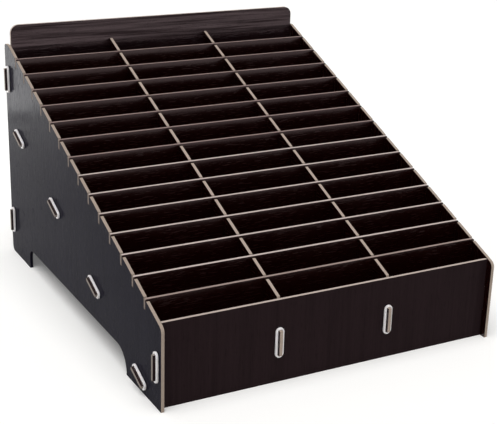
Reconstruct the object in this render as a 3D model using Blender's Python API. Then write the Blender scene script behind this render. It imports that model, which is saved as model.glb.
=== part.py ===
# Phone storage box: a sloping rack of upright phone pockets, cut from thin laminated boards.
# Boards meet with tenons that pass through slots, and a plastic collar locks each tenon.
# Lengths are metres. X runs across, the low front is at -Y, the ground is at Z = 0.
import math

import bmesh
import bpy
from mathutils import Euler, Matrix, Vector

# Boards and fits
BOARD = 0.0025
FIT_GAP = 0.0003

# Pockets
COLUMNS = 3
ROWS = 15
CELL_WIDTH = 0.0887
ROW_PITCH = 0.0207

# Side panels
SIDE_FRONT_HEIGHT = 0.0617
SLOPE_ANGLE = math.radians(21.65)
SLOPE_CORNER_RADIUS = 0.005
REAR_TOP_RADIUS = 0.003
REAR_HEEL_RADIUS = 0.005
FRONT_FOOT_LENGTH = 0.060
REAR_FOOT_LENGTH = 0.0488
ARCH_HEIGHT = 0.0178
ARCH_FRONT_RADIUS = 0.0172
ARCH_REAR_RADIUS = 0.008

# Front and back panels
FRONT_RECESS = 0.0054
REAR_RECESS = 0.0073
FRONT_PANEL_DROP = 0.0007
BACK_RISE = 0.0168
BACK_CORNER_RADIUS = 0.007

# Inclined floor, whose middle would pass this far under the sides' front edges
FLOOR_DIP = 0.0029
FLOOR_GROUND_GAP = 0.0005

# Ears of the cross dividers and the open slots that they hang in
EAR_HEIGHT = 0.0074
EAR_CORNER_RADIUS = 0.0012
SLOT_SLACK = 0.0004
EAR_SLOT_END_RADIUS = 0.0004
SLOT_MOUTH_RADIUS = 0.001

# Tenons
TENON_LENGTH = 0.019
TENON_PROUD = 0.0037
LOWER_TENON_HEIGHT = 0.0313
UPPER_TENON_DROP = 0.0292
FLOOR_TENONS = 4
FLOOR_TENON_FRONT_INSET = 0.0267
FLOOR_TENON_REAR_INSET = 0.0251

# Collars
COLLAR_WALL = 0.0017
COLLAR_THICKNESS = 0.0016
COLLAR_EDGE_CHAMFER = 0.0003

# How far a rounded corner's flats may lie inside its true arc
ARC_TOLERANCE = 0.00005
WELD_DISTANCE = 0.000001

# Main places, worked out from the sizes above; Y is measured from the sides' front edges
OUTER_WIDTH = COLUMNS * CELL_WIDTH + (COLUMNS + 1) * BOARD
HALF_WIDTH = OUTER_WIDTH / 2
HALF_INSIDE = HALF_WIDTH - BOARD - FIT_GAP
FRONT_PANEL_Y = FRONT_RECESS + BOARD / 2
BACK_PANEL_Y = FRONT_PANEL_Y + ROWS * ROW_PITCH
DEPTH = BACK_PANEL_Y + BOARD / 2 + REAR_RECESS
LONG_FRONT_Y = FRONT_PANEL_Y + BOARD / 2 + FIT_GAP
LONG_REAR_Y = BACK_PANEL_Y - BOARD / 2 - FIT_GAP
SLOPE = math.tan(SLOPE_ANGLE)
SLOPE_END_Y = BACK_PANEL_Y - BOARD / 2
TENON_TIP_X = HALF_WIDTH + TENON_PROUD
FLOOR_DROP = SIDE_FRONT_HEIGHT + FLOOR_DIP
LONG_HEIGHT = FLOOR_DROP - (BOARD / 2 + FIT_GAP) / math.cos(SLOPE_ANGLE)
CROSS_HEIGHT = LONG_HEIGHT - SLOPE * BOARD / 2
LAP_DEPTH = (CROSS_HEIGHT + FIT_GAP) / 2
EAR_SLOT_DEPTH = EAR_HEIGHT + FIT_GAP

# Directions that a flat outline's own X, Y and thickness take in the box
SIDE_PLANE = Euler((math.pi / 2, 0, math.pi / 2)).to_matrix()
CROSS_PLANE = Euler((math.pi / 2, 0, 0)).to_matrix()
FLOOR_PLANE = Euler((SLOPE_ANGLE, 0, 0)).to_matrix()
UPRIGHT = math.pi / 2


def slope_z(y):
    """Height of the sides' sloping edge at a place behind their front edge."""
    return SIDE_FRONT_HEIGHT + SLOPE * y


def front_panel_top():
    return slope_z(FRONT_PANEL_Y) - FRONT_PANEL_DROP


def back_top():
    return slope_z(SLOPE_END_Y) + BACK_RISE


def upper_tenon_height():
    return slope_z(SLOPE_END_Y) - UPPER_TENON_DROP


def long_rear_tenon_height():
    return slope_z(LONG_REAR_Y) - LONG_HEIGHT / 2


def divider_y(row):
    """Middle of the cross divider behind a row, counted from the front."""
    return FRONT_PANEL_Y + row * ROW_PITCH


def long_divider_xs():
    pitch = CELL_WIDTH + BOARD
    middle = COLUMNS / 2
    return [(number - middle) * pitch for number in range(1, COLUMNS)]


def floor_tenon_ys():
    first = LONG_FRONT_Y - FIT_GAP + FLOOR_TENON_FRONT_INSET
    last = LONG_REAR_Y + FIT_GAP - FLOOR_TENON_REAR_INSET
    step = (last - first) / (FLOOR_TENONS - 1)
    return [first + number * step for number in range(FLOOR_TENONS)]


def floor_z(y):
    return slope_z(y) - FLOOR_DROP


def floor_front_y():
    """The floor starts behind the front panel, or where its lower corner would meet the ground."""
    behind_panel = LONG_FRONT_Y + BOARD / 2 * math.sin(SLOPE_ANGLE)
    middle_height = FLOOR_GROUND_GAP + BOARD / 2 * math.cos(SLOPE_ANGLE)
    above_ground = (middle_height + FLOOR_DROP - SIDE_FRONT_HEIGHT) / SLOPE
    return max(behind_panel, above_ground)


def floor_rear_y():
    return LONG_REAR_Y - BOARD / 2 * math.sin(SLOPE_ANGLE)


def fillet_tangents(points, radii):
    """Length that each corner's fillet takes of its two sides, kept within those sides."""
    count = len(points)
    lengths = []
    for index in range(count):
        before = (points[index - 1] - points[index]).normalized()
        after = (points[(index + 1) % count] - points[index]).normalized()
        half_angle = before.angle(after) / 2
        lengths.append(radii[index] / math.tan(half_angle) if radii[index] else 0)
    limited = list(lengths)
    for index in range(count):
        following = (index + 1) % count
        side = (points[following] - points[index]).length
        wanted = lengths[index] + lengths[following]
        if wanted > side:
            limited[index] = min(limited[index], lengths[index] * side / wanted)
            limited[following] = min(limited[following], lengths[following] * side / wanted)
    return limited


def arc_steps(radius, turn):
    """How many flats keep an arc within its tolerance."""
    flat_angle = 2 * math.acos(1 - min(ARC_TOLERANCE / radius, 0.5))
    return max(2, math.ceil(turn / flat_angle))


def rounded(corners):
    """Points of a closed outline whose corners are given as (u, v, radius)."""
    points = [Vector((u, v)) for u, v, radius in corners]
    tangents = fillet_tangents(points, [radius for u, v, radius in corners])
    outline = []
    for index, corner in enumerate(points):
        tangent = tangents[index]
        if not tangent:
            outline.append(corner)
            continue
        before = (points[index - 1] - corner).normalized()
        after = (points[(index + 1) % len(points)] - corner).normalized()
        half_angle = before.angle(after) / 2
        radius = tangent * math.tan(half_angle)
        centre = corner + (before + after).normalized() * radius / math.sin(half_angle)
        start = corner + before * tangent - centre
        turn = math.pi - 2 * half_angle
        if before.cross(after) > 0:
            turn = -turn
        steps = arc_steps(radius, abs(turn))
        for step in range(steps + 1):
            outline.append(centre + Matrix.Rotation(turn * step / steps, 2) @ start)
    return outline


def sharp(corners):
    return [Vector(corner) for corner in corners]


def rectangle(centre_u, centre_v, length, width, angle):
    """A slot's outline, whose length lies at an angle to the outline's own X."""
    turn = Matrix.Rotation(angle, 2)
    centre = Vector((centre_u, centre_v))
    signs = ((-1, -1), (1, -1), (1, 1), (-1, 1))
    return [centre + turn @ Vector((a * length / 2, b * width / 2)) for a, b in signs]


def tenon_slot(centre_u, centre_v, angle=UPRIGHT):
    """The slot that a tenon passes through, with a gap all round."""
    return rectangle(centre_u, centre_v, TENON_LENGTH + 2 * FIT_GAP, BOARD + 2 * FIT_GAP, angle)


def plate_mesh(name, outline, holes, thickness, chamfer=0):
    """A flat outline with holes, filled and given its thickness about its own plane."""
    curve = bpy.data.curves.new(name, "CURVE")
    curve.dimensions = "2D"
    curve.fill_mode = "BOTH"
    curve.extrude = thickness / 2 - chamfer
    curve.bevel_depth = chamfer
    curve.bevel_resolution = 0
    curve.offset = -chamfer
    for points in [outline] + holes:
        spline = curve.splines.new("POLY")
        spline.points.add(len(points) - 1)
        for target, point in zip(spline.points, points):
            target.co = (point.x, point.y, 0, 1)
        spline.use_cyclic_u = True
    guide = bpy.data.objects.new(name, curve)
    bpy.context.scene.collection.objects.link(guide)
    evaluated = guide.evaluated_get(bpy.context.evaluated_depsgraph_get())
    mesh = bpy.data.meshes.new_from_object(evaluated)
    mesh.name = name
    bpy.data.objects.remove(guide)
    bpy.data.curves.remove(curve)
    weld_mesh(mesh)
    return mesh


def weld_mesh(mesh):
    shape = bmesh.new()
    shape.from_mesh(mesh)
    bmesh.ops.remove_doubles(shape, verts=shape.verts, dist=WELD_DISTANCE)
    bmesh.ops.recalc_face_normals(shape, faces=shape.faces)
    shape.to_mesh(mesh)
    shape.free()


def finish_material(name, colour, roughness):
    material = bpy.data.materials.new(name)
    material.use_nodes = True
    shader = material.node_tree.nodes["Principled BSDF"]
    shader.inputs["Base Color"].default_value = (*colour, 1)
    shader.inputs["Roughness"].default_value = roughness
    shader.inputs["Metallic"].default_value = 0
    material.diffuse_color = (*colour, 1)
    return material


def give_material(mesh, material):
    mesh.materials.clear()
    mesh.materials.append(material)


def place(name, mesh, plane, location, parts, parent):
    """One named piece of the box, turned into its plane and set at its place."""
    piece = bpy.data.objects.new(name, mesh)
    parts.objects.link(piece)
    piece.parent = parent
    piece.rotation_euler = plane.to_euler()
    piece.location = location
    return piece


def slope_slots(depth, end_radius):
    """Corners of the open slots along the slope, from the rear to the front."""
    corners = []
    for row in range(ROWS - 1, 0, -1):
        middle = divider_y(row)
        rear = middle + BOARD / 2 + FIT_GAP
        front = middle - BOARD / 2 - SLOT_SLACK
        bottom = slope_z(middle) - depth
        corners.append((rear, slope_z(rear), 0))
        corners.append((rear, bottom, end_radius))
        corners.append((front, bottom, end_radius))
        corners.append((front, slope_z(front), SLOT_MOUTH_RADIUS))
    return corners


def side_outline():
    top = slope_z(SLOPE_END_Y)
    rear_foot = DEPTH - REAR_FOOT_LENGTH
    corners = [
        (0, 0, 0),
        (FRONT_FOOT_LENGTH, 0, 0),
        (FRONT_FOOT_LENGTH, ARCH_HEIGHT, ARCH_FRONT_RADIUS),
        (rear_foot, ARCH_HEIGHT, ARCH_REAR_RADIUS),
        (rear_foot, 0, 0),
        (DEPTH, 0, REAR_HEEL_RADIUS),
        (DEPTH, top, REAR_TOP_RADIUS),
        (SLOPE_END_Y, top, 0),
    ]
    corners += slope_slots(EAR_SLOT_DEPTH, EAR_SLOT_END_RADIUS)
    corners.append((0, SIDE_FRONT_HEIGHT, SLOPE_CORNER_RADIUS))
    return rounded(corners)


def side_slots():
    slots = [tenon_slot(FRONT_PANEL_Y, LOWER_TENON_HEIGHT)]
    slots.append(tenon_slot(BACK_PANEL_Y, LOWER_TENON_HEIGHT))
    slots.append(tenon_slot(BACK_PANEL_Y, upper_tenon_height()))
    slots += [tenon_slot(y, floor_z(y), SLOPE_ANGLE) for y in floor_tenon_ys()]
    return slots


def tenon_edge(edge, tip, centre):
    """Corners of a tenon that stands out of an upright edge, listed upwards."""
    low = centre - TENON_LENGTH / 2
    high = centre + TENON_LENGTH / 2
    return [(edge, low), (tip, low), (tip, high), (edge, high)]


def mirrored(corners):
    return [(-corner[0], *corner[1:]) for corner in reversed(corners)]


def panel_outline(height, top_radius, tenon_heights):
    """An upright panel between the sides, with tenons at both ends."""
    right = [(HALF_INSIDE, 0, 0)]
    for centre in tenon_heights:
        right += [(*corner, 0) for corner in tenon_edge(HALF_INSIDE, TENON_TIP_X, centre)]
    right.append((HALF_INSIDE, height, top_radius))
    return rounded(right + mirrored(right))


def floor_outline():
    """The floor in its own plane, measured along the slope from its front edge."""
    front = floor_front_y()
    along = 1 / math.cos(SLOPE_ANGLE)
    right = [(HALF_INSIDE, 0)]
    for y in floor_tenon_ys():
        right += tenon_edge(HALF_INSIDE, TENON_TIP_X, (y - front) * along)
    right.append((HALF_INSIDE, (floor_rear_y() - front) * along))
    return sharp(right + mirrored(right))


def long_divider_outline():
    """A divider from front to back; its slots let the cross dividers in from above."""
    front_tip = FRONT_PANEL_Y - BOARD / 2 - TENON_PROUD
    rear_tip = BACK_PANEL_Y + BOARD / 2 + TENON_PROUD
    front_tenon = tenon_edge(LONG_FRONT_Y, front_tip, LOWER_TENON_HEIGHT)
    rear_tenon = tenon_edge(LONG_REAR_Y, rear_tip, long_rear_tenon_height())
    corners = [(LONG_FRONT_Y, slope_z(LONG_FRONT_Y) - LONG_HEIGHT, 0)]
    corners.append((LONG_REAR_Y, slope_z(LONG_REAR_Y) - LONG_HEIGHT, 0))
    corners += [(*corner, 0) for corner in rear_tenon]
    corners.append((LONG_REAR_Y, slope_z(LONG_REAR_Y), 0))
    corners += slope_slots(LAP_DEPTH, 0)
    corners.append((LONG_FRONT_Y, slope_z(LONG_FRONT_Y), 0))
    corners += [(*corner, 0) for corner in reversed(front_tenon)]
    return rounded(corners)


def cross_divider_outline():
    """A divider across the box, measured down from its top edge, with ears and lap slots."""
    lap_half_width = BOARD / 2 + FIT_GAP
    lap_top = LAP_DEPTH - CROSS_HEIGHT
    right_end = [(HALF_INSIDE, -CROSS_HEIGHT, 0), (HALF_INSIDE, -EAR_HEIGHT, 0)]
    right_end += [(HALF_WIDTH, -EAR_HEIGHT, 0), (HALF_WIDTH, 0, EAR_CORNER_RADIUS)]
    bottom = []
    for x in long_divider_xs():
        left = x - lap_half_width
        right = x + lap_half_width
        bottom += [(left, -CROSS_HEIGHT, 0), (left, lap_top, 0)]
        bottom += [(right, lap_top, 0), (right, -CROSS_HEIGHT, 0)]
    return rounded(bottom + right_end + mirrored(right_end))


def collar_outline():
    half_length = TENON_LENGTH / 2 + FIT_GAP + COLLAR_WALL
    half_width = BOARD / 2 + FIT_GAP + COLLAR_WALL
    return rounded([
        (-half_length, -half_width, half_width),
        (half_length, -half_width, half_width),
        (half_length, half_width, half_width),
        (-half_length, half_width, half_width),
    ])


def collar_mesh():
    hole = tenon_slot(0, 0, 0)
    return plate_mesh("locking_collar", collar_outline(), [hole], COLLAR_THICKNESS, COLLAR_EDGE_CHAMFER)


def add_side_panels(parts, parent):
    mesh = plate_mesh("side_panel", side_outline(), side_slots(), BOARD)
    give_material(mesh, finish_material("side_laminate", (0.042, 0.041, 0.045), 0.42))
    for side, sign in (("left", -1), ("right", 1)):
        middle = sign * (HALF_WIDTH - BOARD / 2)
        place(f"side_panel_{side}", mesh, SIDE_PLANE, (middle, 0, 0), parts, parent)


def add_back_panel(parts, parent):
    slots = [tenon_slot(x, long_rear_tenon_height()) for x in long_divider_xs()]
    heights = [LOWER_TENON_HEIGHT, upper_tenon_height()]
    outline = panel_outline(back_top(), BACK_CORNER_RADIUS, heights)
    mesh = plate_mesh("back_panel", outline, slots, BOARD)
    give_material(mesh, finish_material("back_laminate", (0.045, 0.034, 0.035), 0.45))
    place("back_panel", mesh, CROSS_PLANE, (0, BACK_PANEL_Y, 0), parts, parent)


def add_front_panel(parts, parent):
    slots = [tenon_slot(x, LOWER_TENON_HEIGHT) for x in long_divider_xs()]
    outline = panel_outline(front_panel_top(), 0, [LOWER_TENON_HEIGHT])
    mesh = plate_mesh("front_panel", outline, slots, BOARD)
    give_material(mesh, finish_material("front_laminate", (0.020, 0.013, 0.014), 0.42))
    place("front_panel", mesh, CROSS_PLANE, (0, FRONT_PANEL_Y, 0), parts, parent)


def add_floor(parts, parent):
    mesh = plate_mesh("inclined_floor", floor_outline(), [], BOARD)
    give_material(mesh, finish_material("floor_laminate", (0.012, 0.008, 0.008), 0.5))
    front = floor_front_y()
    place("inclined_floor", mesh, FLOOR_PLANE, (0, front, floor_z(front)), parts, parent)


def add_long_dividers(parts, parent):
    mesh = plate_mesh("long_divider", long_divider_outline(), [], BOARD)
    give_material(mesh, finish_material("long_divider_laminate", (0.012, 0.008, 0.008), 0.5))
    for number, x in enumerate(long_divider_xs(), start=1):
        place(f"long_divider_{number}", mesh, SIDE_PLANE, (x, 0, 0), parts, parent)


def add_cross_dividers(parts, parent):
    """Each divider lifts straight up, so its origin is at the middle of its top edge."""
    mesh = plate_mesh("cross_divider", cross_divider_outline(), [], BOARD)
    give_material(mesh, finish_material("cross_divider_laminate", (0.012, 0.008, 0.008), 0.5))
    for row in range(1, ROWS):
        y = divider_y(row)
        place(f"cross_divider_{row:02d}", mesh, CROSS_PLANE, (0, y, slope_z(y)), parts, parent)


def side_collar_places():
    """Each collar on a side panel: its name, its place behind the front edge, height and angle."""
    places = [("front", FRONT_PANEL_Y, LOWER_TENON_HEIGHT, UPRIGHT)]
    for number, y in enumerate(floor_tenon_ys(), start=1):
        places.append((f"floor_{number}", y, floor_z(y), SLOPE_ANGLE))
    places.append(("rear_lower", BACK_PANEL_Y, LOWER_TENON_HEIGHT, UPRIGHT))
    places.append(("rear_upper", BACK_PANEL_Y, upper_tenon_height(), UPRIGHT))
    return places


def add_collars(parts, parent):
    mesh = collar_mesh()
    give_material(mesh, finish_material("collar_plastic", (0.76, 0.74, 0.72), 0.35))
    off_face = FIT_GAP + COLLAR_THICKNESS / 2
    for side, sign in (("left", -1), ("right", 1)):
        for label, y, height, angle in side_collar_places():
            plane = SIDE_PLANE @ Matrix.Rotation(angle, 3, "Z")
            location = (sign * (HALF_WIDTH + off_face), y, height)
            place(f"collar_{side}_{label}", mesh, plane, location, parts, parent)
    upright_plane = CROSS_PLANE @ Matrix.Rotation(UPRIGHT, 3, "Z")
    front_y = FRONT_PANEL_Y - BOARD / 2 - off_face
    back_y = BACK_PANEL_Y + BOARD / 2 + off_face
    for number, x in enumerate(long_divider_xs(), start=1):
        front = (x, front_y, LOWER_TENON_HEIGHT)
        back = (x, back_y, long_rear_tenon_height())
        place(f"collar_front_{number}", mesh, upright_plane, front, parts, parent)
        place(f"collar_back_{number}", mesh, upright_plane, back, parts, parent)


def clear_scene():
    for old in list(bpy.data.objects):
        bpy.data.objects.remove(old)


def main():
    clear_scene()
    parts = bpy.data.collections.new("phone_storage_box")
    bpy.context.scene.collection.children.link(parts)
    front_edge = bpy.data.objects.new("box_front_edge", None)
    front_edge.location = (0, -DEPTH / 2, 0)
    parts.objects.link(front_edge)
    add_side_panels(parts, front_edge)
    add_back_panel(parts, front_edge)
    add_front_panel(parts, front_edge)
    add_floor(parts, front_edge)
    add_long_dividers(parts, front_edge)
    add_cross_dividers(parts, front_edge)
    add_collars(parts, front_edge)
    bpy.context.view_layer.update()


main()
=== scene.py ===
"""Looks of a phone storage box: dark laminated boards with bare cut edges and white collars."""

import math

import bpy
from mathutils import Euler, Matrix, Vector


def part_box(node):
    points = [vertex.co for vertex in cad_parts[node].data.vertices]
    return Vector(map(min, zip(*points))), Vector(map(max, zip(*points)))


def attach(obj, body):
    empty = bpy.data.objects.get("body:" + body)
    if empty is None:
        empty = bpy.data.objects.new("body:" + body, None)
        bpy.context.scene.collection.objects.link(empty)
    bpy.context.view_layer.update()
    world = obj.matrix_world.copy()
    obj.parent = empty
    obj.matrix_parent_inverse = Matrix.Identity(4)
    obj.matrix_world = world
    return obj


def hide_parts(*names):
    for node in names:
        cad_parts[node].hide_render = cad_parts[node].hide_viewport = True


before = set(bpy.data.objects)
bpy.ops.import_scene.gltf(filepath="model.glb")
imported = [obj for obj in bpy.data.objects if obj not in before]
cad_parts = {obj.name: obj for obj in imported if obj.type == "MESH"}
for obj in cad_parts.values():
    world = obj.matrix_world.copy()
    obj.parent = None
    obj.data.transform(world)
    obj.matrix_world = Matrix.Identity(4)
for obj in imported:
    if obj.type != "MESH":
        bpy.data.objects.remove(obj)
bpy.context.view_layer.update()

bl_info = {
    "name": "Phone storage box",
    "version": (1, 0, 0),
    "blender": (4, 5, 0),
    "location": "View3D > Sidebar > Storage box",
    "description": "Dresses the boards and collars of a sloping phone storage box",
    "category": "Object",
}

MM = 0.001
QUARTER_TURN = math.pi / 2
WHITE = (1, 1, 1, 1)

ROOT_BODY = "box"
SIDES = ("left", "right")
LONG_DIVIDERS = (1, 2)
FLOOR_TENONS = range(1, 5)
CROSS_COUNT = 14

# The photograph shows one run of cross dividers cut from a paler sheet than the rest
PALE_ROWS = range(2, 8)

# Axes that a board's thickness or its grain follows
ACROSS = Vector((1, 0, 0))
DEEP = Vector((0, 1, 0))
UP = Vector((0, 0, 1))

# Places of a board's materials in its list; the third is for end cuts or an inner face
FOIL, CORE, THIRD = 0, 1, 2

# Finishes of the foils: streaked is the share of the shine that streaks add and take away,
# contrast and relief belong to the streaks, and sheen is the colour of mirrored light
SIDE_FINISH = {"shine": 0.0102, "streaked": 0, "roughness": 0.14,
               "contrast": 0.5, "relief": 0.8, "sheen": "#EAE8FF"}
FRONT_FINISH = {"shine": 0.02, "streaked": 0, "roughness": 0.40,
                "contrast": 0.5, "relief": 0.35, "sheen": "#FFF4F6"}
BACK_FINISH = {"shine": 0.48, "streaked": 0.62, "roughness": 0.22,
               "contrast": 1.3, "relief": 0.35, "sheen": "#FFE4EA"}
INNER_FINISH = {"shine": 0.55, "streaked": 0, "roughness": 0.19,
                "contrast": 0.3, "relief": 0.12, "sheen": "#FFE4E6"}

# Spans of a noise's values that a pattern is drawn from; a narrow one has hard edges
WIDE_SPAN = (0.30, 0.70)
TONE_SPAN = (0.32, 0.68)
FIRM_SPAN = (0.35, 0.65)
PORE_SPAN = (0.60, 0.70)
WHOLE_SPAN = (0, 1)

# Kinds of noise: how many finer noises each one holds, and how strong they are
STREAK_NOISE = (3.0, 0.6)
FIBRE_NOISE = (3.0, 0.7)
PLAIN_NOISE = (2.0, 0.5)
SMOOTH_NOISE = (1.0, 0.5)

# Foil: the size of its pattern, across the grain and along it where there are two values
STREAK_LENGTH = 90 * MM
BAND_SIZE = (11 * MM, 260 * MM)
PORE_SIZE = (0.7 * MM, 9 * MM)
SMEAR_SIZE = 45 * MM
# Foil: how far a contrast of one shifts the tone of streaks and bands, how much of the bands
# shows, and the share of the tone that is left in a pore
STREAK_SHIFT = 0.35
BAND_SHIFT = 0.45
BAND_COVER = 0.5
PORE_TONE = 0.45
# Foil: what smears, pressed lines, raised streaks and pores add to its roughness
SMEAR_BLUR = 0.04
PRESSED_BLUR = 0.12
RAISED_BLUR = -0.06
PORE_BLUR = 0.18
# Foil: depth of a pore, and the height of a raised streak as a share of it
FOIL_DEPTH = 0.05 * MM
STREAK_HEIGHT = 0.4

# Fibreboard: small dark and light clumps of fibres, wider patches that darken them, and relief
CLUMP_SIZE = 0.6 * MM
CLUMP_TONES = (0.80, 1.12)
PATCH_SIZE = 14 * MM
PATCH_TONE = 0.82
PATCH_COVER = 0.45
CORE_ROUGHNESS = 0.85
CORE_IOR = 1.4
CORE_BUMP = 0.5
CORE_DEPTH = 0.06 * MM

# Polypropylene: its skin's dimples, its faint clouds, and the milky light from under its skin
SKIN_SIZE = 0.9 * MM
SKIN_ROUGHNESS = (0.32, 0.42)
SKIN_BUMP = 0.15
SKIN_DEPTH = 0.03 * MM
CLOUD_SIZE = 8 * MM
CLOUD_TONE = 0.93
PLASTIC_IOR = 1.49
MILK_WEIGHT = 0.15
MILK_RADIUS = (1, 0.9, 0.8)
MILK_SCALE = 0.6 * MM

# Boards: loose triangles are merged within this distance, faces that differ by less than
# FLAT_ANGLE are one flat face, those that differ by less than ARC_ANGLE are shaded round, and
# edges sharper than EASED_ANGLE are eased
MERGE_DISTANCE = 0.01 * MM
FLAT_ANGLE = math.radians(1)
ARC_ANGLE = math.radians(21)
EASED_ANGLE = math.radians(40)
EASE_STEPS = 2
# Least share of a face's normal along the thickness, on a broad face and on a quite flat one
BROAD_FACE_LIMIT = 0.9
FLAT_FACE_LIMIT = 0.999

# Where the CAD panels stand, and the slack in telling what lies at their outer faces
SIDE_LOW, SIDE_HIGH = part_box("side_panel_left")
FRONT_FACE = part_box("front_panel")[0].y
BACK_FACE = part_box("back_panel")[1].y
SIDE_SLACK = 0.5 * MM
END_SLACK = 1 * MM
# The arch between a side's feet lies between these heights and clear of both ends
ARCH_LOW = 1 * MM
ARCH_HIGH = 20 * MM
ARCH_END_GAP = 40 * MM

# Collars: the faces of a full round, the cutter's length as a multiple of the thickness, and
# the angles past which a rim is rounded and a face is not shaded smooth with its neighbour
COLLAR_ROUND_STEPS = 64
CUTTER_REACH = 3
RIM_ANGLE = math.radians(50)
RIM_STEPS = 3
COLLAR_SMOOTH_ANGLE = math.radians(40)

# The camera stands where the photograph was taken from: its place in the frame's own metres,
# its turns in radians, its focal length in the photograph's pixels and its sensor in millimetres
CAMERA_PLACE = Vector((-0.4208, -0.79655, 0.3951))
CAMERA_YAW = 0.4987
CAMERA_PITCH = -0.3468
CAMERA_ROLL = 0.0290
FOCAL_PIXELS = 1170.63
PHOTO_WIDTH = 497
SENSOR_WIDTH = 36.0

# The stage, in metres; PAPER_LIFT is the light that the floor gives off where it is seen
KEY_PLACE = (-0.26, -0.30, 1.5)
REAR_PLACE = (-0.33, 0.56, 0.111)
REAR_TARGET = (-0.2, 0, 0.111)
REAR_SIZE = (0.36, 0.2)
FLOOR_RADIUS = 4
FLOOR_SIDES = 96
PAPER_COLOUR = "#F2F1EF"
PAPER_ROUGHNESS = 0.9
PAPER_LIFT = 0.14


def linear(code):
    """A hex colour as it shows on a screen, turned to the linear values that shaders use."""
    channels = [int(code[index:index + 2], 16) / 255 for index in (1, 3, 5)]
    return tuple(c / 12.92 if c <= 0.04045 else ((c + 0.055) / 1.055) ** 2.4 for c in channels)


class BoardLook(bpy.types.PropertyGroup):
    # The sides' foil colour is the dark foil's own, lightened and tinted blue as a painted
    # reflection of the surroundings
    side_foil_and_reflection: bpy.props.FloatVectorProperty(
        name="Side foil", description="Ground colour of the side panels' foil",
        default=linear("#1A1823"), size=3, min=0, max=1, subtype="COLOR")
    back_foil: bpy.props.FloatVectorProperty(
        name="Back foil", description="Ground colour of the back panel's foil",
        default=linear("#1B0E10"), size=3, min=0, max=1, subtype="COLOR")
    front_foil: bpy.props.FloatVectorProperty(
        name="Front foil", description="Ground colour of the front panel's foil",
        default=linear("#241A1C"), size=3, min=0, max=1, subtype="COLOR")
    inner_foil: bpy.props.FloatVectorProperty(
        name="Inner foil",
        description="Ground colour of the foil on dividers, floor and the sides' inner faces",
        default=linear("#160302"), size=3, min=0, max=1, subtype="COLOR")
    side_core: bpy.props.FloatVectorProperty(
        name="Side core", description="Colour of the bare fibreboard on the side panels' edges",
        default=linear("#A69689"), size=3, min=0, max=1, subtype="COLOR")
    panel_core: bpy.props.FloatVectorProperty(
        name="Panel core",
        description="Colour of the bare fibreboard on the front and back panels' edges",
        default=linear("#C0B0A7"), size=3, min=0, max=1, subtype="COLOR")
    long_core: bpy.props.FloatVectorProperty(
        name="Long divider core",
        description="Colour of the bare fibreboard on the edges of the long dividers and floor",
        default=linear("#B1A093"), size=3, min=0, max=1, subtype="COLOR")
    pale_core: bpy.props.FloatVectorProperty(
        name="Pale core", description="Colour of the fibreboard on the palest cross dividers",
        default=linear("#CABAB4"), size=3, min=0, max=1, subtype="COLOR")
    dull_core: bpy.props.FloatVectorProperty(
        name="Dull core", description="Colour of the fibreboard on the other cross dividers",
        default=linear("#947F7A"), size=3, min=0, max=1, subtype="COLOR")
    front_core: bpy.props.FloatVectorProperty(
        name="Front core", description="Colour of the fibreboard on the frontmost cross divider",
        default=linear("#9C8982"), size=3, min=0, max=1, subtype="COLOR")
    # The tenon ends in the side panels face sideways; their fibreboard colour is darkened as
    # painted shade
    shaded_tip_core: bpy.props.FloatVectorProperty(
        name="Tenon ends", description="Colour of the fibreboard on the ends of the side tenons",
        default=linear("#90867F"), size=3, min=0, max=1, subtype="COLOR")
    # The ear ends in the side panels face sideways; their fibreboard colour is darkened as painted
    # shade
    shaded_ear_core: bpy.props.FloatVectorProperty(
        name="Ear ends", description="Colour of the fibreboard on the cross dividers' ears",
        default=linear("#83766E"), size=3, min=0, max=1, subtype="COLOR")
    edge_ease: bpy.props.FloatProperty(
        name="Eased edge", description="Width of the foil that shows round a cut edge",
        default=0.07 * MM, min=0, max=1 * MM, unit="LENGTH", precision=5)
    grain_width: bpy.props.FloatProperty(
        name="Grain width", description="Distance between neighbouring grain streaks",
        default=1.6 * MM, min=0.1 * MM, max=20 * MM, unit="LENGTH", precision=5)


class CollarLook(bpy.types.PropertyGroup):
    plastic: bpy.props.FloatVectorProperty(
        name="Plastic", description="Colour of the moulded collars",
        default=linear("#F6F2F3"), size=3, min=0, max=1, subtype="COLOR")
    wall: bpy.props.FloatProperty(
        name="Wall", description="Width of the collar's rim beside the tenon",
        default=1.7 * MM, min=0.5 * MM, max=4 * MM, unit="LENGTH", precision=5)
    rounding: bpy.props.FloatProperty(
        name="Rounding", description="Radius of the collar's rims",
        default=0.35 * MM, min=0.05 * MM, max=1 * MM, unit="LENGTH", precision=5)


class StudioLook(bpy.types.PropertyGroup):
    key_strength: bpy.props.FloatProperty(
        name="Key light",
        description="Strength of the wide light overhead, where pi is full white",
        default=2.5, min=0, max=20)
    key_spread: bpy.props.FloatProperty(
        name="Key spread",
        description="Angle that the overhead light fills, which softens its shadows",
        default=math.radians(55), min=0, max=math.pi, subtype="ANGLE")
    rear_power: bpy.props.FloatProperty(
        name="Rear light", description="Power of the low panel behind the left side",
        default=0.88, min=0, max=1000, unit="POWER")
    room_level: bpy.props.FloatProperty(
        name="Room light", description="Strength of the even light from all round",
        default=0.25, min=0, max=2, subtype="FACTOR")


def add_node(tree, kind, inputs, **settings):
    """One shader node with its settings; each input is a value, or a node's output to link."""
    node = tree.nodes.new(kind)
    for name, value in settings.items():
        setattr(node, name, value)
    for name, value in inputs.items():
        if isinstance(value, bpy.types.NodeSocket):
            tree.links.new(value, node.inputs[name])
        else:
            node.inputs[name].default_value = value
    return node


def new_material(name):
    material = bpy.data.materials.new(name)
    material.use_nodes = True
    return material, material.node_tree, material.node_tree.nodes["Principled BSDF"]


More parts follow.
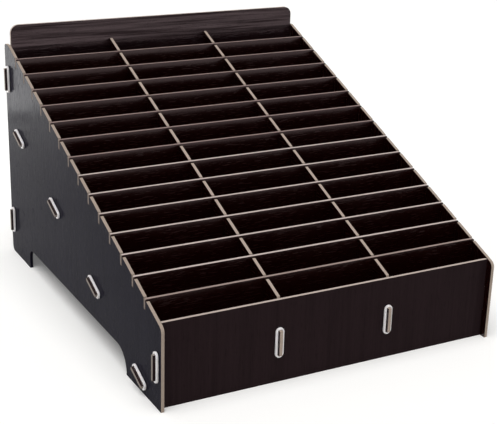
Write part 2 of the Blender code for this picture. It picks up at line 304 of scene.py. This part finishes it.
def add_patterns(tree, *patterns):
    """Patterns fixed to the piece, each given by the real size of its blotches along X, Y and Z
    and by the kind of its noise."""
    place = add_node(tree, "ShaderNodeTexCoord", {}).outputs["Object"]
    outputs = []
    for sizes, (detail, fineness) in patterns:
        scale = [1 / size for size in sizes]
        mapping = add_node(tree, "ShaderNodeMapping", {"Vector": place, "Scale": scale})
        noise = add_node(tree, "ShaderNodeTexNoise", {
            "Vector": mapping.outputs["Vector"], "Scale": 1.0,
            "Detail": detail, "Roughness": fineness})
        outputs.append(noise.outputs["Fac"])
    return outputs


def along_grain(grain, width, length):
    """Blotch size along each axis for streaks that run along the grain's axis."""
    return [length if part else width for part in grain]


def graded(tree, *parts):
    """The sum of patterns. Each part is a pattern, the span of it that counts, and what it adds
    at that span's start and end."""
    total = None
    for pattern, (low, high), (start, end) in parts:
        part = add_node(tree, "ShaderNodeMapRange", {
            "Value": pattern, "From Min": low, "From Max": high,
            "To Min": start, "To Max": end}).outputs["Result"]
        if total is None:
            total = part
        else:
            both = add_node(tree, "ShaderNodeMath", {0: total, 1: part}, operation="ADD")
            total = both.outputs["Value"]
    return total


def lay_over(tree, under, over, pattern, span, cover=WHOLE_SPAN):
    """Lays a tone over another where a pattern's span is, as thickly as the cover's start and
    end say. A tone is a colour or a node's output."""
    share = graded(tree, (pattern, span, cover))
    # Sockets go by number here, because the node has one of each name for every data type
    tones = add_node(tree, "ShaderNodeMix", {0: share, 6: under, 7: over}, data_type="RGBA")
    return tones.outputs[2]


def shade(colour, factor):
    return (*[min(1.0, channel * factor) for channel in colour], 1)


def foil_material(name, colour, grain, *, shine, streaked, roughness, contrast, relief, sheen):
    """Melamine foil pressed with wood grain: dark streaks and shallow pores break its sheen."""
    material, tree, shader = new_material(name)
    # Real streaks lie 0.5 to 1 mm apart; they are drawn a little coarser so that they show.
    width = bpy.context.scene.board_look.grain_width
    streaks, bands, pores, smears = add_patterns(
        tree,
        (along_grain(grain, width, STREAK_LENGTH), STREAK_NOISE),
        (along_grain(grain, *BAND_SIZE), PLAIN_NOISE),
        (along_grain(grain, *PORE_SIZE), SMOOTH_NOISE),
        ([SMEAR_SIZE] * 3, PLAIN_NOISE))
    open_pores = graded(tree, (pores, PORE_SPAN, WHOLE_SPAN))
    shift = STREAK_SHIFT * contrast
    tone = lay_over(tree, shade(colour, 1 - shift), shade(colour, 1 + shift), streaks, TONE_SPAN)
    tone = lay_over(tree, tone, shade(colour, 1 + BAND_SHIFT * contrast),
                    bands, FIRM_SPAN, (0, BAND_COVER))
    tone = lay_over(tree, tone, shade(colour, PORE_TONE), open_pores, WHOLE_SPAN, (0, contrast))
    tree.links.new(tone, shader.inputs["Base Color"])
    shader.inputs["Specular IOR Level"].default_value = shine
    shader.inputs["Specular Tint"].default_value = (*linear(sheen), 1)
    if streaked:
        # The sheen is stronger on the raised streaks than in the pressed lines between them.
        least, most = shine * (1 - streaked), shine * (1 + streaked)
        gloss = graded(tree, (streaks, FIRM_SPAN, (least, most)))
        tree.links.new(gloss, shader.inputs["Specular IOR Level"])
    # The pressed lines and pores blur what the foil mirrors, and handling leaves faint smears.
    blur = graded(tree,
                  (smears, WIDE_SPAN, (roughness - SMEAR_BLUR, roughness + SMEAR_BLUR)),
                  (streaks, FIRM_SPAN, (PRESSED_BLUR * relief, RAISED_BLUR * relief)),
                  (open_pores, WHOLE_SPAN, (0, PORE_BLUR)))
    tree.links.new(blur, shader.inputs["Roughness"])
    raised = graded(tree, (streaks, WIDE_SPAN, (0, STREAK_HEIGHT)))
    height = add_node(tree, "ShaderNodeMath", {0: raised, 1: open_pores}, operation="SUBTRACT")
    bump = add_node(tree, "ShaderNodeBump", {
        "Strength": relief, "Distance": FOIL_DEPTH, "Height": height.outputs["Value"]})
    tree.links.new(bump.outputs["Normal"], shader.inputs["Normal"])
    return material


def core_material(name, colour):
    """Medium-density fibreboard, bare where it was cut: pale, matt and finely fibrous."""
    material, tree, shader = new_material(name)
    # Real fibres are under 0.1 mm thick; their clumps are drawn larger so that they show.
    clumps, patches = add_patterns(
        tree, ([CLUMP_SIZE] * 3, FIBRE_NOISE), ([PATCH_SIZE] * 3, PLAIN_NOISE))
    dark, light = CLUMP_TONES
    tone = lay_over(tree, shade(colour, dark), shade(colour, light), clumps, WIDE_SPAN)
    tone = lay_over(tree, tone, shade(colour, PATCH_TONE), patches, FIRM_SPAN, (0, PATCH_COVER))
    tree.links.new(tone, shader.inputs["Base Color"])
    shader.inputs["Roughness"].default_value = CORE_ROUGHNESS
    shader.inputs["IOR"].default_value = CORE_IOR
    bump = add_node(tree, "ShaderNodeBump", {
        "Strength": CORE_BUMP, "Distance": CORE_DEPTH, "Height": clumps})
    tree.links.new(bump.outputs["Normal"], shader.inputs["Normal"])
    return material


def collar_material(name, colour):
    """Moulded polypropylene: milky white with a soft sheen and a faint orange-peel skin."""
    material, tree, shader = new_material(name)
    skin, cloud = add_patterns(
        tree, ([SKIN_SIZE] * 3, PLAIN_NOISE), ([CLOUD_SIZE] * 3, SMOOTH_NOISE))
    tone = lay_over(tree, shade(colour, 1), shade(colour, CLOUD_TONE), cloud, FIRM_SPAN)
    tree.links.new(tone, shader.inputs["Base Color"])
    blur = graded(tree, (skin, WIDE_SPAN, SKIN_ROUGHNESS))
    tree.links.new(blur, shader.inputs["Roughness"])
    shader.inputs["IOR"].default_value = PLASTIC_IOR
    shader.inputs["Subsurface Weight"].default_value = MILK_WEIGHT
    shader.inputs["Subsurface Radius"].default_value = MILK_RADIUS
    shader.inputs["Subsurface Scale"].default_value = MILK_SCALE
    bump = add_node(tree, "ShaderNodeBump", {
        "Strength": SKIN_BUMP, "Distance": SKIN_DEPTH, "Height": skin})
    tree.links.new(bump.outputs["Normal"], shader.inputs["Normal"])
    return material


def deselect_all():
    if bpy.context.mode != "OBJECT":
        bpy.ops.object.mode_set(mode="OBJECT")
    bpy.ops.object.select_all(action="DESELECT")


def make_active(piece):
    deselect_all()
    piece.select_set(True)
    bpy.context.view_layer.objects.active = piece


def apply_modifier(piece, name, kind, **settings):
    make_active(piece)
    modifier = piece.modifiers.new(name, kind)
    for setting, value in settings.items():
        setattr(modifier, setting, value)
    bpy.ops.object.modifier_apply(modifier=name)


def duplicate(source, name):
    make_active(source)
    bpy.ops.object.duplicate()
    copy = bpy.context.active_object
    copy.name = name
    return copy


def merge_loose_triangles(piece):
    """Joins a node's loose triangles and takes out the lines across flat faces."""
    make_active(piece)
    bpy.ops.object.mode_set(mode="EDIT")
    bpy.ops.mesh.select_all(action="SELECT")
    bpy.ops.mesh.remove_doubles(threshold=MERGE_DISTANCE)
    bpy.ops.mesh.dissolve_limited(angle_limit=FLAT_ANGLE)
    bpy.ops.object.mode_set(mode="OBJECT")


def is_end_cut(place):
    """Whether a place lies at the panels' outer faces or beyond, where ears and tenons end."""
    outside = abs(place.x) > -SIDE_LOW.x - SIDE_SLACK
    return outside or not FRONT_FACE - END_SLACK < place.y < BACK_FACE + END_SLACK


def is_arch_cut(place):
    """Whether a place on a side panel's edge lies in the arch between its feet."""
    between_feet = SIDE_LOW.y + ARCH_END_GAP < place.y < SIDE_HIGH.y - ARCH_END_GAP
    return between_feet and ARCH_LOW < place.z < ARCH_HIGH


def dress_board(node, body, thickness_axis, materials):
    """A board made from its node: foil on both broad faces, bare core on its cut edges.
    The materials are the foil, the core and, where the board has ears or tenons, their end cuts in
    a darker core as painted shade."""
    look = bpy.context.scene.board_look
    board = duplicate(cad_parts[node], f"{node}_board")
    merge_loose_triangles(board)
    board.data.materials.clear()
    for material in materials:
        board.data.materials.append(material)
    for face in board.data.polygons:
        if abs(face.normal.dot(thickness_axis)) > BROAD_FACE_LIMIT:
            face.material_index = FOIL
        elif len(materials) > THIRD and is_end_cut(face.center):
            face.material_index = THIRD
        else:
            face.material_index = CORE
    apply_modifier(board, "eased_edges", "BEVEL", width=look.edge_ease, segments=EASE_STEPS,
                   limit_method="ANGLE", angle_limit=EASED_ANGLE, material=FOIL)
    make_active(board)
    bpy.ops.object.shade_smooth_by_angle(angle=ARC_ANGLE)
    for face in board.data.polygons:
        if abs(face.normal.dot(thickness_axis)) > FLAT_FACE_LIMIT:
            face.use_smooth = False
    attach(board, body)
    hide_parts(node)
    return board


def node_middle(node):
    low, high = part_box(node)
    return (low + high) / 2


def slope_angle():
    """Tilt of the floor, read from the line of its tenons."""
    rise = node_middle("collar_left_floor_4") - node_middle("collar_left_floor_1")
    return math.atan2(rise.z, rise.y)


class BOX_OT_side_panels(bpy.types.Operator):
    """Add both side panels, their grain upright and the cut edges of their arches given dark foil
    as painted shade
    """
    bl_idname = "storage_box.side_panels"
    bl_label = "Side panels"

    def execute(self, context):
        look = context.scene.board_look
        # Its ground colour holds a painted reflection: lighter and bluer than the same foil inside
        foil = foil_material("matt_oak_foil_sides_and_reflection", look.side_foil_and_reflection, UP, **SIDE_FINISH)
        inner = foil_material("satin_oak_foil_sides_inner", look.inner_foil, UP, **INNER_FINISH)
        core = core_material("fibreboard_sides", look.side_core)
        for side, inward in zip(SIDES, (ACROSS, -ACROSS)):
            board = dress_board(f"side_panel_{side}", ROOT_BODY, ACROSS, (foil, core))
            board.data.materials.append(inner)
            for face in board.data.polygons:
                if face.normal.dot(inward) > BROAD_FACE_LIMIT:
                    face.material_index = THIRD
                # The cut edges in the arch get dark foil instead of bare core: painted shade under
                # the box
                elif is_arch_cut(face.center):
                    face.material_index = FOIL
        return {"FINISHED"}


class BOX_OT_end_panels(bpy.types.Operator):
    """Add the low front panel, its grain upright, and the high back panel, its grain across"""
    bl_idname = "storage_box.end_panels"
    bl_label = "Front and back panels"

    def execute(self, context):
        look = context.scene.board_look
        core = core_material("fibreboard_panels", look.panel_core)
        # Tenon ends: the fibreboard colour darkened as painted shade
        shaded_tips = core_material("fibreboard_panel_tenons_shaded", look.shaded_tip_core)
        back = foil_material("satin_oak_foil_back", look.back_foil, ACROSS, **BACK_FINISH)
        front = foil_material("matt_oak_foil_front", look.front_foil, UP, **FRONT_FINISH)
        dress_board("back_panel", ROOT_BODY, DEEP, (back, core, shaded_tips))
        dress_board("front_panel", ROOT_BODY, DEEP, (front, core, shaded_tips))
        return {"FINISHED"}


class BOX_OT_floor(bpy.types.Operator):
    """Add the inclined floor under the pockets"""
    bl_idname = "storage_box.floor"
    bl_label = "Inclined floor"

    def execute(self, context):
        look = context.scene.board_look
        normal = Matrix.Rotation(slope_angle(), 3, "X") @ UP
        foil = foil_material("satin_oak_foil_floor", look.inner_foil, DEEP, **INNER_FINISH)
        core = core_material("fibreboard_floor", look.long_core)
        # Tenon ends: the fibreboard colour darkened as painted shade
        shaded_tips = core_material("fibreboard_floor_tenons_shaded", look.shaded_tip_core)
        dress_board("inclined_floor", ROOT_BODY, normal, (foil, core, shaded_tips))
        return {"FINISHED"}


class BOX_OT_long_dividers(bpy.types.Operator):
    """Add the two dividers that run from front to back"""
    bl_idname = "storage_box.long_dividers"
    bl_label = "Long dividers"

    def execute(self, context):
        look = context.scene.board_look
        foil = foil_material("satin_oak_foil_long", look.inner_foil, DEEP, **INNER_FINISH)
        core = core_material("fibreboard_long", look.long_core)
        for number in LONG_DIVIDERS:
            dress_board(f"long_divider_{number}", ROOT_BODY, ACROSS, (foil, core))
        return {"FINISHED"}


class BOX_OT_cross_dividers(bpy.types.Operator):
    """Add the dividers across the box, each riding on its own lift"""
    bl_idname = "storage_box.cross_dividers"
    bl_label = "Cross dividers"

    def execute(self, context):
        look = context.scene.board_look
        foil = foil_material("satin_oak_foil_cross", look.inner_foil, ACROSS, **INNER_FINISH)
        # Ear ends: the fibreboard colour darkened as painted shade
        ears = core_material("fibreboard_cross_ears_shaded", look.shaded_ear_core)
        pale = core_material("fibreboard_cross_pale", look.pale_core)
        dull = core_material("fibreboard_cross_dull", look.dull_core)
        cores = {row: pale if row in PALE_ROWS else dull for row in range(2, CROSS_COUNT + 1)}
        cores[1] = core_material("fibreboard_cross_front", look.front_core)
        for row, core in cores.items():
            dress_board(f"cross_divider_{row:02d}", f"divider_{row:02d}", DEEP,
                        (foil, core, ears))
        return {"FINISHED"}


def edit_vertices_where(piece, test):
    """Opens a piece for editing with only the vertices selected that pass the test."""
    make_active(piece)
    bpy.ops.object.mode_set(mode="EDIT")
    bpy.ops.mesh.select_mode(type="VERT")
    bpy.ops.mesh.select_all(action="DESELECT")
    bpy.ops.object.mode_set(mode="OBJECT")
    for vertex in piece.data.vertices:
        vertex.select = test(vertex.co)
    bpy.ops.object.mode_set(mode="EDIT")


def model_collar(length, width, thickness):
    """One collar lying flat at the origin, its length along X."""
    look = bpy.context.scene.collar_look
    half_step = math.pi / COLLAR_ROUND_STEPS
    deselect_all()
    # The round's flat sides, and not its corners, lie at the collar's width
    bpy.ops.mesh.primitive_cylinder_add(
        vertices=COLLAR_ROUND_STEPS, depth=thickness,
        radius=width / 2 / math.cos(half_step), rotation=(0, 0, half_step))
    bpy.ops.object.transform_apply(location=False, rotation=True, scale=False)
    collar = bpy.context.active_object
    half_straight = (length - width) / 2
    for sign in (-1, 1):
        edit_vertices_where(collar, lambda place: place.x * sign > 0)
        bpy.ops.transform.translate(value=(sign * half_straight, 0, 0))
        bpy.ops.object.mode_set(mode="OBJECT")
    deselect_all()
    hole = (length - 2 * look.wall, width - 2 * look.wall, CUTTER_REACH * thickness)
    bpy.ops.mesh.primitive_cube_add(size=1, scale=hole)
    bpy.ops.object.transform_apply(location=False, rotation=False, scale=True)
    cutter = bpy.context.active_object
    apply_modifier(collar, "tenon_hole", "BOOLEAN", operation="DIFFERENCE", object=cutter)
    bpy.data.objects.remove(cutter)
    apply_modifier(collar, "round_rims", "BEVEL", width=look.rounding, segments=RIM_STEPS,
                   limit_method="ANGLE", angle_limit=RIM_ANGLE)
    make_active(collar)
    bpy.ops.object.shade_smooth_by_angle(angle=COLLAR_SMOOTH_ANGLE)
    return collar


def collar_turns():
    """Each collar's node, with the turn that lays a flat collar against its panel."""
    on_side = Euler((QUARTER_TURN, 0, QUARTER_TURN)).to_matrix()
    on_end = Euler((QUARTER_TURN, 0, 0)).to_matrix()
    upright = Matrix.Rotation(QUARTER_TURN, 3, "Z")
    sloping = Matrix.Rotation(slope_angle(), 3, "Z")
    turns = {}
    for side in SIDES:
        for label in ("front", "rear_lower", "rear_upper"):
            turns[f"collar_{side}_{label}"] = on_side @ upright
        for number in FLOOR_TENONS:
            turns[f"collar_{side}_floor_{number}"] = on_side @ sloping
    for number in LONG_DIVIDERS:
        turns[f"collar_front_{number}"] = on_end @ upright
        turns[f"collar_back_{number}"] = on_end @ upright
    return turns


class BOX_OT_collars(bpy.types.Operator):
    """Add the white collars that lock the tenons"""
    bl_idname = "storage_box.collars"
    bl_label = "Locking collars"

    def execute(self, context):
        plastic = collar_material("polypropylene_collar", context.scene.collar_look.plastic)
        low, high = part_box("collar_front_1")
        size = high - low
        model = model_collar(size.z, size.x, size.y)
        model.data.materials.append(plastic)
        for node, turn in collar_turns().items():
            collar = duplicate(model, f"{node}_ring")
            collar.rotation_euler = turn.to_euler()
            collar.location = node_middle(node)
            make_active(collar)
            bpy.ops.object.transform_apply(location=True, rotation=True, scale=True)
            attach(collar, ROOT_BODY)
            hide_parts(node)
        bpy.data.objects.remove(model)
        return {"FINISHED"}


def add_camera():
    data = bpy.data.cameras.new("photo_camera")
    data.sensor_width = SENSOR_WIDTH
    data.lens = FOCAL_PIXELS / PHOTO_WIDTH * SENSOR_WIDTH
    camera = bpy.data.objects.new("photo_camera", data)
    bpy.context.scene.collection.objects.link(camera)
    forward = Vector((math.sin(CAMERA_YAW) * math.cos(CAMERA_PITCH),
                      math.cos(CAMERA_YAW) * math.cos(CAMERA_PITCH),
                      math.sin(CAMERA_PITCH)))
    level = Vector((math.cos(CAMERA_YAW), -math.sin(CAMERA_YAW), 0))
    above = level.cross(forward)
    right = level * math.cos(CAMERA_ROLL) + above * math.sin(CAMERA_ROLL)
    above = right.cross(forward)
    turn = Matrix((right, above, -forward)).transposed()
    camera.rotation_euler = turn.to_euler()
    camera.location = CAMERA_PLACE
    bpy.context.scene.camera = camera


def add_light(name, kind, place, turn, **settings):
    data = bpy.data.lights.new(name, kind)
    for setting, value in settings.items():
        setattr(data, setting, value)
    light = bpy.data.objects.new(name, data)
    bpy.context.scene.collection.objects.link(light)
    light.location = place
    light.rotation_euler = turn.to_euler()


def white_to_viewer(tree):
    """One where the camera, a glossy or a transmitted ray looks, and zero elsewhere."""
    path = add_node(tree, "ShaderNodeLightPath", {})
    total = path.outputs["Is Camera Ray"]
    for name in ("Is Glossy Ray", "Is Transmission Ray"):
        either = add_node(tree, "ShaderNodeMath", {0: total, 1: path.outputs[name]},
                          operation="MAXIMUM")
        total = either.outputs["Value"]
    return total


def light_room(level):
    """White where it is seen, and a low even light for the object."""
    world = bpy.data.worlds.new("studio")
    bpy.context.scene.world = world
    world.use_nodes = True
    tree = world.node_tree
    background = tree.nodes["Background"]
    background.inputs["Color"].default_value = WHITE
    strength = graded(tree, (white_to_viewer(tree), WHOLE_SPAN, (level, 1)))
    tree.links.new(strength, background.inputs["Strength"])


def floor_material():
    """Matt white studio paper, lifted to white where it is seen, so that only shadow shows."""
    material, tree, shader = new_material("studio_paper")
    shader.inputs["Base Color"].default_value = (*linear(PAPER_COLOUR), 1)
    shader.inputs["Roughness"].default_value = PAPER_ROUGHNESS
    shader.inputs["Specular IOR Level"].default_value = 0
    shader.inputs["Emission Color"].default_value = WHITE
    lift = graded(tree, (white_to_viewer(tree), WHOLE_SPAN, (0, PAPER_LIFT)))
    tree.links.new(lift, shader.inputs["Emission Strength"])
    return material


class BOX_OT_stage(bpy.types.Operator):
    """Add the pale floor, the lights and the camera"""
    bl_idname = "storage_box.stage"
    bl_label = "Stage"

    def execute(self, context):
        look = context.scene.studio_look
        deselect_all()
        bpy.ops.mesh.primitive_circle_add(vertices=FLOOR_SIDES, radius=FLOOR_RADIUS,
                                          fill_type="NGON")
        floor = bpy.context.active_object
        floor.name = "studio_floor"
        floor.data.materials.append(floor_material())
        # A sun shines from far off in the direction of its place, whatever its distance
        add_light("key", "SUN", KEY_PLACE, Vector(KEY_PLACE).to_track_quat("Z", "Y"),
                  angle=look.key_spread, energy=look.key_strength)
        aim = Vector(REAR_TARGET) - Vector(REAR_PLACE)
        width, height = REAR_SIZE
        add_light("rear", "AREA", REAR_PLACE, aim.to_track_quat("-Z", "Y"), shape="RECTANGLE",
                  size=width, size_y=height, energy=look.rear_power)
        light_room(look.room_level)
        add_camera()
        context.scene.view_settings.view_transform = "Standard"
        return {"FINISHED"}


OPERATORS = (BOX_OT_side_panels, BOX_OT_end_panels, BOX_OT_floor, BOX_OT_long_dividers,
             BOX_OT_cross_dividers, BOX_OT_collars, BOX_OT_stage)


class BOX_PT_build(bpy.types.Panel):
    bl_idname = "BOX_PT_build"
    bl_label = "Storage box"
    bl_space_type = "VIEW_3D"
    bl_region_type = "UI"
    bl_category = "Storage box"

    def draw(self, context):
        scene = context.scene
        for operator in OPERATORS:
            self.layout.operator(operator.bl_idname)
        for look in (scene.board_look, scene.collar_look, scene.studio_look):
            for name in look.__annotations__:
                self.layout.prop(look, name)


CLASSES = (BoardLook, CollarLook, StudioLook, *OPERATORS, BOX_PT_build)


def register():
    for item in CLASSES:
        bpy.utils.register_class(item)
    bpy.types.Scene.board_look = bpy.props.PointerProperty(type=BoardLook)
    bpy.types.Scene.collar_look = bpy.props.PointerProperty(type=CollarLook)
    bpy.types.Scene.studio_look = bpy.props.PointerProperty(type=StudioLook)


def unregister():
    del bpy.types.Scene.studio_look
    del bpy.types.Scene.collar_look
    del bpy.types.Scene.board_look
    for item in reversed(CLASSES):
        bpy.utils.unregister_class(item)


def main():
    register()
    bpy.ops.storage_box.side_panels()
    bpy.ops.storage_box.end_panels()
    bpy.ops.storage_box.floor()
    bpy.ops.storage_box.long_dividers()
    bpy.ops.storage_box.cross_dividers()
    bpy.ops.storage_box.collars()
    bpy.ops.storage_box.stage()


if __name__ == "__main__":
    main()
